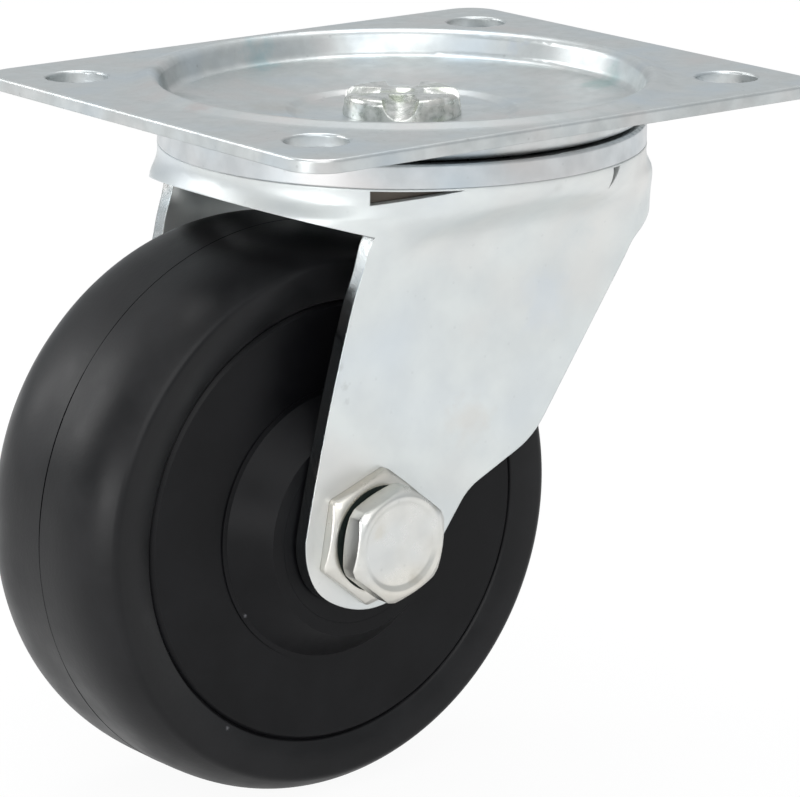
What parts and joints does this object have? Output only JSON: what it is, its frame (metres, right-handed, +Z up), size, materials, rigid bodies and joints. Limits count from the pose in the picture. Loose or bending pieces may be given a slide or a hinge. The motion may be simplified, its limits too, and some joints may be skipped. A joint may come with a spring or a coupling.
{
  "type": "trolley caster",
  "caption": "Swivel plate caster with a pressed fork, double ball race, staked kingpin and a solid black wheel on a hexagon bolt",
  "frame": {"origin": "centre of the top plate's upper face, on the swivel axis", "axes": "+Z up out of the plate, X along the plate's long side, the wheel trails to -X and turns about Y"},
  "size_m": [0.1056, 0.076, 0.0948],
  "materials": {
    "plated_steel": "satin zinc plate",
    "fork_steel": "bright zinc plate",
    "plain_steel": "turned",
    "ball_steel": "polished",
    "tyre": "satin",
    "black_plastic": "semi gloss",
    "nylon": "natural"
  },
  "bodies": {
    "plate": {"top_plate": "plated_steel", "kingpin": "plated_steel", "lower_race": "plated_steel"},
    "swivel_fork": {"fork": "fork_steel", "race_cup": "plated_steel", "axle_bolt": "plated_steel", "axle_jam_nut": "plated_steel", "axle_sleeve": "plain_steel", "axle_washer": "plated_steel", "axle_nut": "plated_steel", "nut_insert": "nylon"},
    "wheel": {"tyre": "tyre", "wheel_centre": "black_plastic", "hub_liner": "plain_steel", "bearing_cap_near": "black_plastic", "bearing_cap_far": "black_plastic"},
    "roller_set": {"roller_cage": "nylon", "rollers": "plain_steel"},
    "upper_ball_ring": {"upper_balls": "ball_steel"},
    "lower_ball_ring": {"lower_balls": "ball_steel"}
  },
  "joints": [
    {"name": "swivel", "type": "hinge", "parent": "plate", "child": "swivel_fork", "pos_m": [0, 0, 0], "axis": [0, 0, 1], "continuous": true},
    {"name": "wheel_spin", "type": "hinge", "parent": "swivel_fork", "child": "wheel", "pos_m": [-0.0228, 0, -0.0554], "axis": [0, 1, 0], "continuous": true},
    {"name": "roller_orbit", "type": "hinge", "parent": "swivel_fork", "child": "roller_set", "pos_m": [-0.0228, 0, -0.0554], "axis": [0, 1, 0], "continuous": true},
    {"name": "upper_ball_orbit", "type": "hinge", "parent": "plate", "child": "upper_ball_ring", "pos_m": [0, 0, 0], "axis": [0, 0, 1], "continuous": true},
    {"name": "lower_ball_orbit", "type": "hinge", "parent": "plate", "child": "lower_ball_ring", "pos_m": [0, 0, 0], "axis": [0, 0, 1], "continuous": true}
  ],
  "couplings": [
    {"joint": "roller_orbit", "follows": "wheel_spin", "ratio": 0.6},
    {"joint": "upper_ball_orbit", "follows": "swivel", "ratio": 0.5},
    {"joint": "lower_ball_orbit", "follows": "swivel", "ratio": 0.5}
  ]
}
